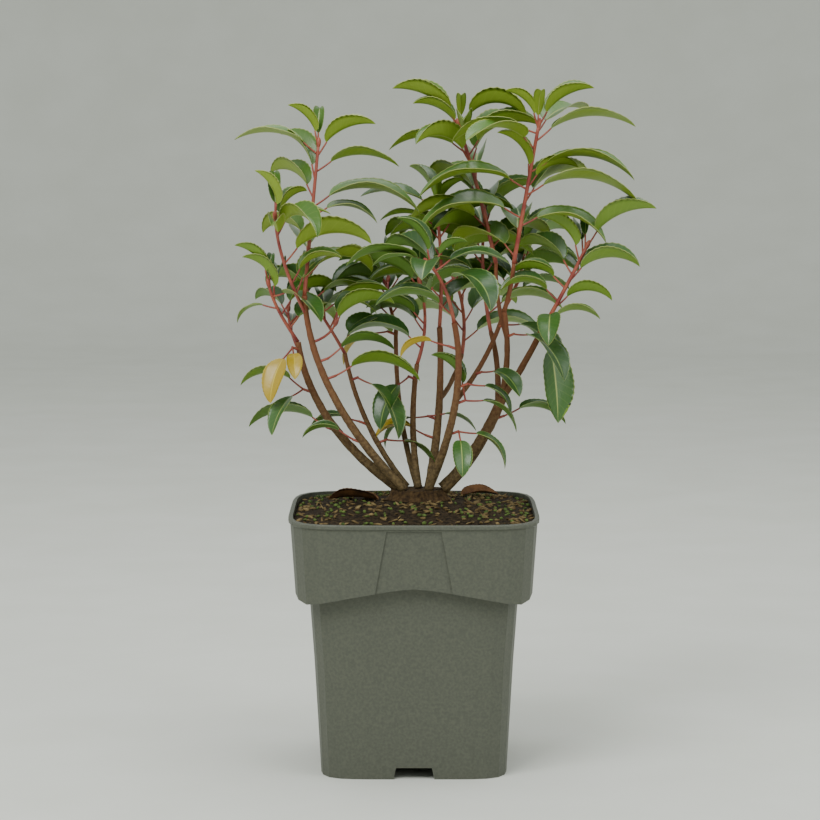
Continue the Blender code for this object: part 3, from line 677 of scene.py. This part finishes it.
def add_tube(bm: bmesh.types.BMesh, tube: Tube, sides: int, step: float,
             relief: Callable[[Vector, float], float] | None = None) -> None:
    """Roll a grid into a capped tube.

    Args:
        bm: The mesh, in millimetres.
        tube: The tube.
        sides: Its sides.
        step: Its ring step.
        relief: Optional function of a point and share that returns an added height.
    """
    count = max(FEWEST_RINGS, round(tube.length / step))
    sheet = bmesh.ops.create_grid(bm, x_segments=sides, y_segments=count, size=1.0)["verts"]
    for vertex in sheet:
        angle = math.pi * (vertex.co.x + 1.0)
        t = min(1.0, max(0.0, (vertex.co.y + 1.0) / 2.0))
        forward = tube.direction(t)
        across = forward.cross(Vector((0.0, 1.0, 0.0))).normalized()
        deep = forward.cross(across)
        out = math.cos(angle) * across + math.sin(angle) * deep
        place = tube.point(t) + tube.radius(t) * out
        if relief:
            place += relief(place, t) * out
        vertex.co = place
    bmesh.ops.remove_doubles(bm, verts=sheet, dist=SAME_POINT)
    rims = dict.fromkeys(e for v in sheet if v.is_valid for e in v.link_edges if e.is_boundary)
    bmesh.ops.holes_fill(bm, edges=list(rims), sides=0)


def finish_mesh(name: str, bm: bmesh.types.BMesh, materials: list,
                replaced: list) -> None:
    """Turn a millimetre mesh into a piece that rides on the plant's body.

    Args:
        name: The piece's name.
        bm: The mesh.
        materials: Its materials in slot order.
        replaced: The nodes that it stands for.
    """
    bmesh.ops.scale(bm, vec=(MM, MM, MM), verts=bm.verts)
    mesh = bpy.data.meshes.new(name)
    bm.to_mesh(mesh)
    bm.free()
    mesh.shade_smooth()
    for material in materials:
        mesh.materials.append(material)
    piece = bpy.data.objects.new(name, mesh)
    bpy.context.scene.collection.objects.link(piece)
    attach(piece, "root")
    if replaced:
        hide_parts(*replaced)
    LOG.info("%s: %d faces", name, len(mesh.polygons))


@dataclass
class Leaf:
    """One folded, arched blade on its stalk: sizes in millimetres, angles in degrees."""

    root: Vector
    azimuth: float
    lift: float
    arch: float
    length: float
    fold: float
    roll: float
    petiole: float

    def base(self) -> Vector:
        """Return where the blade starts."""
        return self.root + unit(self.azimuth, self.lift + PETIOLE_RISE) * self.petiole

    def stalk(self) -> Tube:
        """Return the thin tube from the twig to just inside the blade."""
        end = self.base() + PETIOLE_OVERLAP * unit(self.azimuth, self.lift)
        radii = (PETIOLE_RADIUS, PETIOLE_TAPER * PETIOLE_RADIUS)
        return Tube(self.root, end, (0.0, PETIOLE_SAG), radii)

    def frames(self) -> list:
        """Walk along the arched rib.

        Returns:
            Place, side direction and upper direction at each station.
        """
        place = self.base()
        rows = []
        roll = math.radians(self.roll)
        side = unit(self.azimuth + 90.0, 0.0)
        step = self.length / LEAF_STATIONS
        for k in range(LEAF_STATIONS + 1):
            t = k / LEAF_STATIONS
            if k:
                halfway = self.lift - self.arch * (t - 0.5 / LEAF_STATIONS)
                place = place + unit(self.azimuth, halfway) * step
            upper = unit(self.azimuth, self.lift - self.arch * t).cross(side)
            rows.append((place.copy(), math.cos(roll) * side + math.sin(roll) * upper,
                         math.cos(roll) * upper - math.sin(roll) * side))
        return rows

    def half_width(self, t: float) -> float:
        """Return the half width at a share of the length, without the teeth.

        Args:
            t: The share.

        Returns:
            The half width in millimetres.
        """
        if t < WIDEST:
            away = (WIDEST - t) / WIDEST
            power, roundness = BASE_CURVE
        else:
            away = (t - WIDEST) / (1.0 - WIDEST)
            power, roundness = TIP_CURVE
        return self.length * LEAF_WIDTH / 2.0 * (1.0 - away ** power) ** roundness

    def add_blade(self, bm: bmesh.types.BMesh, uv: bmesh.types.BMLayerItem) -> None:
        """Fold a grid into the blade, thicken it, and tell its two sides apart.

        Args:
            bm: The mesh, in millimetres.
            uv: The UV layer of the rib and veins.
        """
        rows = self.frames()
        fold = math.radians(self.fold)
        grid = bmesh.ops.create_grid(
            bm, x_segments=LEAF_COLUMNS, y_segments=LEAF_STATIONS, size=1.0)["verts"]
        places = {}
        for vertex in grid:
            across = vertex.co.x
            k = min(LEAF_STATIONS, max(0, round((vertex.co.y + 1.0) / 2.0 * LEAF_STATIONS)))
            t = k / LEAF_STATIONS
            place, side, upper = rows[k]
            reach = self.half_width(t)
            if abs(across) > RIM and k % 2:
                reach *= 1.0 - SERRATION
            wave = WAVE_HEIGHT * reach * math.sin(WAVES_ALONG * t + across * WAVES_ACROSS)
            flat = math.cos(fold) * across
            rise = math.sin(fold) * abs(across) ** FOLD_CURVE
            vertex.co = place + reach * (flat * side + rise * upper) + wave * upper * abs(across)
            places[vertex] = (t, across)
        faces = list(dict.fromkeys(f for v in grid for f in v.link_faces))
        for face in faces:
            for loop in face.loops:
                loop[uv].uv = places[loop.vert]
        made = bmesh.ops.solidify(bm, geom=faces, thickness=LEAF_THICKNESS)["geom"]
        skin = list(dict.fromkeys([*faces, *(g for g in made if isinstance(g, bmesh.types.BMFace))]))
        bmesh.ops.recalc_face_normals(bm, faces=skin)
        for face in skin:
            station = round(max(loop[uv].uv.x for loop in face.loops) * LEAF_STATIONS)
            upper = rows[min(LEAF_STATIONS, max(0, station))][2]
            face.material_index = 0 if face.normal.dot(upper) > 0.0 else 1


def read_leaf(mark: str) -> tuple:
    """Read a leaf mark.

    Args:
        mark: Compass letters and signs.

    Returns:
        Compass angle, length factor, lift and extra curl.
    """
    letters = mark.rstrip(LEAF_SIGNS)
    scale = 1.0
    lift = 0.0
    for sign in mark[len(letters):]:
        scale *= LENGTH_MARKS.get(sign, 1.0)
        lift += LIFT_MARKS.get(sign, 0.0)
    return COMPASS[letters], scale, lift, CURL if CURL_MARK in mark else 0.0


def shoot_leaves(shoot: Shoot, tube: Tube) -> list:
    """Place the leaves of a shoot by the seeded rule.

    Args:
        shoot: The row.
        tube: Its twig.

    Returns:
        The leaves from the lowest to the tip.
    """
    rng = random.Random(f"{SEED} {shoot.name}")
    leaves = []
    steps = shoot.leaves.split()
    for k, step in enumerate(steps):
        grown_share = k / max(1, len(steps) - 1)
        for place, mark in enumerate(step.split("/")):
            if mark == ".":
                continue
            share = shoot.first + (1.0 - shoot.first) * grown_share
            share = min(share, 1.0 - TIP_CLEARANCE / tube.length) - place * STEP_SPREAD / tube.length
            azimuth, scale, lift, curl = read_leaf(mark)
            # Leaves of the last third of the shoot are ever younger
            young = max(0.0, 3.0 * grown_share - 2.0)
            rise = LIFT_LOW + (LIFT_HIGH - LIFT_LOW) * grown_share + lift + shoot.lift
            rise += rng.uniform(-LIFT_JITTER, LIFT_JITTER)
            bend = MATURE_ARCH + (YOUNG_ARCH - MATURE_ARCH) * young + curl
            bend = min(bend + rng.uniform(-ARCH_JITTER, ARCH_JITTER), rise - STEEPEST)
            fold = FOLD_LOW + (FOLD_HIGH - FOLD_LOW) * grown_share ** 0.5
            leaves.append(Leaf(
                root=tube.point(share),
                azimuth=azimuth + rng.uniform(-AZIMUTH_JITTER, AZIMUTH_JITTER),
                lift=rise,
                arch=bend,
                length=shoot.length * scale * (1.0 - YOUNG_SHORTER * young) * rng.uniform(
                    1.0 - LENGTH_JITTER, 1.0 + LENGTH_JITTER),
                fold=fold if lift >= 0.0 else FOLD_HANGING,
                roll=rng.uniform(-ROLL_JITTER, ROLL_JITTER),
                petiole=PETIOLE * (PETIOLE_LEAST + (1.0 - PETIOLE_LEAST) * scale) + tube.radius(share),
            ))
    return leaves


@dataclass
class Plant:
    """The limbs, twigs and foliage: a tube by each limb's name, and pairs of shoot and tube."""

    tubes: dict[str, Tube]
    shoots: list[tuple[Shoot, Tube]]

    @classmethod
    def grow(cls) -> "Plant":
        """Grow the tubes of the tables.

        Returns:
            The plant.
        """
        tubes = {}
        for stem in STEMS:
            start = Vector((stem.parent[0], stem.parent[1], STEM_FOOT))
            tubes[stem.name] = Tube(start, placed(*stem.tip), stem.bow, stem.radii)
        for bough in BOUGHS:
            start = tubes[bough.parent].point(bough.at)
            tubes[bough.name] = Tube(start, placed(*bough.tip), bough.bow, bough.radii)
        shoots = []
        for shoot in SHOOTS:
            start = tubes[shoot.parent].point(shoot.at)
            radii = (shoot.radius, TWIG_TAPER * shoot.radius)
            shoots.append((shoot, Tube(start, placed(*shoot.tip), shoot.bow, radii)))
        for name, host, share, marks, length, lift in SPURS:
            row = Shoot(name=name, parent=host, at=share, tip=(), bow=(), radius=0.0,
                        leaves=marks, first=SPUR_FIRST, length=length, lift=lift)
            start = tubes[host].point(share)
            azimuth = read_leaf(marks.split()[0])[0]
            tip = start + unit(azimuth, SPUR_RISE) * (tubes[host].radius(share) + SPUR_LENGTH)
            shoots.append((row, Tube(start, tip, (0.0, 0.0), SPUR_RADII)))
        return cls(tubes, shoots)

    def build_limbs(self, material: bpy.types.Material) -> None:
        """Build stems and boughs with bark relief.

        Args:
            material: The bark.
        """
        bm = bmesh.new()
        for tube in self.tubes.values():
            add_tube(bm, tube, LIMB_SIDES, LIMB_STEP, tube.bark)
        finish_mesh("limbs", bm, [material], list(self.tubes))

    def build_twigs(self, material: bpy.types.Material) -> None:
        """Build the leafy twigs, their buds and the leaf stalks.

        Args:
            material: The red twig finish.
        """
        bm = bmesh.new()
        for shoot, tube in self.shoots:
            add_tube(bm, tube, TWIG_SIDES, TWIG_STEP)
            for leaf in shoot_leaves(shoot, tube):
                stalk = leaf.stalk()
                add_tube(bm, stalk, PETIOLE_SIDES, stalk.length / PETIOLE_POINTS)
            if shoot.radius:
                self.add_bud(bm, tube)
        finish_mesh("twigs", bm, [material], [])

    def add_bud(self, bm: bmesh.types.BMesh, tube: Tube) -> None:
        """Set a pointed bud on a twig's tip.

        Args:
            bm: The mesh.
            tube: The twig.
        """
        forward = tube.direction(1.0)
        turn = forward.to_track_quat("Z", "Y").to_matrix().to_4x4()
        size = Matrix.Diagonal((*BUD_HALF_SIZES, 1.0))
        place = Matrix.Translation(tube.point(1.0) + BUD_AHEAD * forward)
        bmesh.ops.create_uvsphere(bm, u_segments=BUD_SIDES, v_segments=BUD_RINGS, radius=1.0,
                                  matrix=place @ turn @ size)

    def build_foliage(self, finishes: dict) -> None:
        """Build the blades, one piece for each shade.

        Args:
            finishes: Shade to its list of top and underside material.
        """
        for shade in Shade:
            bm = bmesh.new()
            uv = bm.loops.layers.uv.new("leaf")
            names = []
            for shoot, tube in self.shoots:
                if shade_of(shoot.name) is shade:
                    names.append(shoot.name)
                    for leaf in shoot_leaves(shoot, tube):
                        leaf.add_blade(bm, uv)
            finish_mesh(f"foliage_{shade.name.lower()}", bm, finishes[shade], names)


@dataclass(frozen=True)
class Bits:
    """One kind of litter: how many, and their ranges of length, width and thickness."""

    name: str
    count: int
    sizes: tuple
    slot: str


@dataclass(frozen=True)
class Litter:
    """Chips, straw, moss and dry leaves that lie on the soil.

    The ray height is in metres, the rest in millimetres, degrees or shares. A dry leaf's row
    is its place, its length and the way it points.
    """

    soil: bpy.types.Object
    seed: int = SEED
    chips: Bits = Bits("bark_chips", 420, ((3.0, 8.0), (1.5, 4.0), (0.8, 2.0)), "bark")
    moss: Bits = Bits("moss_tufts", 260, ((1.5, 4.0), (1.5, 3.5), (1.0, 2.6)), "green_leaf")
    straw: Bits = Bits("straw", 46, ((7.0, 16.0), (0.7, 1.2), (0.5, 0.9)), "bark")
    steepest_turn: float = 0.5
    unevenness: float = 0.25
    uneven_size: float = 1.3
    ray_height: float = 0.3
    dry_leaves: tuple = ((-22.0, -8.0, 34.0, 160.0), (30.0, 20.0, 26.0, 20.0))
    dry_above: float = 1.0
    dry_lift: float = 10.0
    dry_arch: float = 24.0
    dry_fold: float = 30.0
    dry_roll: float = 14.0

    def ground(self, x: float, y: float) -> float | None:
        """Return the soil's height, or None past its edge.

        Args:
            x: Place in millimetres.
            y: Place in millimetres.

        Returns:
            The height in millimetres.
        """
        above = Vector((x * MM, y * MM, self.ray_height))
        hit, place, _, _ = self.soil.ray_cast(above, Vector((0.0, 0.0, -1.0)))
        return place.z / MM if hit else None

    def on_crown(self, x: float, y: float) -> bool:
        """Tell whether a place is on the root crown."""
        return (x - CROWN_MIDDLE) ** 2 / CROWN_ACROSS ** 2 + y ** 2 / CROWN_DEEP ** 2 < 1.0

    def scatter(self, bits: Bits, material: bpy.types.Material) -> None:
        """Scatter one kind of lumpy bits.

        Args:
            bits: The kind.
            material: Their finish.
        """
        rng = random.Random(f"{self.seed} {bits.name}")
        # The vector noise starts anew at each run unless it is given a seed
        noise.seed_set(self.seed)
        bm = bmesh.new()
        for _ in range(bits.count):
            x = rng.uniform(-POT_INNER_HALF, POT_INNER_HALF)
            y = rng.uniform(-POT_INNER_HALF, POT_INNER_HALF)
            height = self.ground(x, y)
            if height is None or self.on_crown(x, y):
                continue
            size = [rng.uniform(*pair) / 2.0 for pair in bits.sizes]
            heading = Matrix.Rotation(rng.uniform(0.0, math.tau), 4, "Z")
            tilt = Matrix.Rotation(rng.uniform(-self.steepest_turn, self.steepest_turn), 4, "Y")
            place = Matrix.Translation((x, y, height + 0.5 * size[2]))
            shape = Matrix.Diagonal((*size, 1.0))
            made = bmesh.ops.create_icosphere(bm, subdivisions=1, radius=1.0,
                                              matrix=place @ (heading @ tilt) @ shape)
            for vertex in made["verts"]:
                strayed = noise.noise_vector(vertex.co / self.uneven_size)
                vertex.co += self.unevenness * size[1] * strayed
        finish_mesh(bits.name, bm, [material], [])

    def lay_dry_leaves(self, material: bpy.types.Material) -> None:
        """Lay the brown fallen leaves.

        Args:
            material: Their finish.
        """
        bm = bmesh.new()
        uv = bm.loops.layers.uv.new("leaf")
        for x, y, length, azimuth in self.dry_leaves:
            Leaf(
                root=Vector((x, y, self.ground(x, y) + self.dry_above)),
                azimuth=azimuth,
                lift=self.dry_lift,
                arch=self.dry_arch,
                length=length,
                fold=self.dry_fold,
                roll=self.dry_roll,
                petiole=0.0,
            ).add_blade(bm, uv)
        finish_mesh("dry_leaves", bm, [material, material], [])


@dataclass(frozen=True)
class Lamp:
    """A soft square light: place and side in metres, power in watts."""

    name: str
    place: tuple
    side: float
    power: float


@dataclass(frozen=True)
class Studio:
    """The pale sweep, soft lights and the photograph's camera, with its sizes in metres."""

    sweep_half: float = 4.2
    sweep_steps: int = 96
    back: float = 2.8
    curve: float = 1.1
    world: float = 0.75
    world_colour: str = "e9ecea"
    aim_height: float = 0.25
    lamps: tuple = (
        Lamp("key", (-0.9, -1.3, 1.7), 1.2, 34.0),
        Lamp("fill", (1.4, -1.0, 1.1), 1.4, 12.0),
        Lamp("top", (0.1, 0.2, 1.9), 1.4, 16.0),
    )

    def build(self) -> None:
        """Build the whole set."""
        self.build_sweep()
        for lamp in self.lamps:
            self.add_light(lamp)
        self.add_camera()
        world = bpy.data.worlds.new("soft")
        world.use_nodes = True
        shade = world.node_tree.nodes["Background"]
        shade.inputs["Color"].default_value = linear(self.world_colour)
        shade.inputs["Strength"].default_value = self.world
        bpy.context.scene.world = world

    def build_sweep(self) -> None:
        """Build the round floor that curves up far from the plant."""
        bm = bmesh.new()
        grid = bmesh.ops.create_grid(
            bm, x_segments=self.sweep_steps, y_segments=self.sweep_steps, size=self.sweep_half)["verts"]
        for vertex in grid:
            reach = vertex.co.length
            past = reach - self.back
            if past > 0.0:
                angle = min(past / self.curve, math.pi / 2.0)
                extra = past - angle * self.curve
                vertex.co *= (self.back + self.curve * math.sin(angle)) / reach
                vertex.co.z = self.curve * (1.0 - math.cos(angle)) + extra
        mesh = bpy.data.meshes.new("sweep")
        bm.to_mesh(mesh)
        bm.free()
        mesh.shade_smooth()
        mesh.materials.append(SWEEP_FINISH.build())
        sweep = bpy.data.objects.new("sweep", mesh)
        bpy.context.scene.collection.objects.link(sweep)

    def add_light(self, lamp: Lamp) -> None:
        """Add a soft square light that faces the plant.

        Args:
            lamp: Its sizes.
        """
        light = bpy.data.lights.new(lamp.name, "AREA")
        light.size = lamp.side
        light.energy = lamp.power
        item = bpy.data.objects.new(lamp.name, light)
        item.location = lamp.place
        aim = Vector((0.0, 0.0, self.aim_height)) - Vector(lamp.place)
        item.rotation_euler = aim.to_track_quat("-Z", "Y").to_euler()
        bpy.context.scene.collection.objects.link(item)

    def add_camera(self) -> None:
        """Add the camera at the photograph's place."""
        lens = bpy.data.cameras.new("camera")
        lens.sensor_width = SENSOR
        lens.lens = FOCAL_PIXELS * SENSOR / PHOTO_SIZE
        item = bpy.data.objects.new("camera", lens)
        item.location = Vector(EYE) * MM
        item.rotation_euler = (math.radians(90.0 - EYE_PITCH), 0.0, 0.0)
        bpy.context.scene.collection.objects.link(item)
        bpy.context.scene.camera = item


def leaf_finishes() -> dict:
    """Make the two materials of each shade.

    Returns:
        Shade to its top and underside.
    """
    made = {}
    for shade in Shade:
        top, under, rib = shade.value
        name = shade.name.lower()
        # Laurel leaves are leathery: waxed and glossy above, duller and paler below
        upper = LeafFinish(f"leaf_top_{name}", top, top, grain_mm=14.0, roughness=0.32, bump=0.12,
                           bump_mm=2.0, specular=0.55, coat=0.15, rib=rib)
        lower = LeafFinish(f"leaf_under_{name}", under, under, grain_mm=14.0, roughness=0.5, bump=0.12,
                           bump_mm=2.0, specular=0.35, rib=rib)
        made[shade] = [upper.build(), lower.build()]
    return made


def dress(node: str, material: bpy.types.Material) -> None:
    """Give a kept node its finish.

    Args:
        node: The node's name.
        material: The material.
    """
    item = bpy.data.objects[node]
    if not item.material_slots:
        item.data.materials.append(material)
    for slot in item.material_slots:
        slot.material = material


def main() -> None:
    """Build the looks in order."""
    logging.basicConfig(level=logging.INFO)
    Studio().build()
    dress("pot", POT_FINISH.build())
    dress("soil", SOIL_FINISH.build())
    dress("root_crown", CROWN_FINISH.build())
    plant = Plant.grow()
    plant.build_limbs(BARK_FINISH.build())
    plant.build_twigs(TWIG_FINISH.build())
    plant.build_foliage(leaf_finishes())
    litter = Litter(bpy.data.objects["soil"])
    litter.scatter(litter.chips, CHIP_FINISH.build())
    litter.scatter(litter.moss, MOSS_FINISH.build())
    litter.scatter(litter.straw, CHIP_FINISH.build())
    litter.lay_dry_leaves(DRY_FINISH.build())


if __name__ == "__main__":
    main()
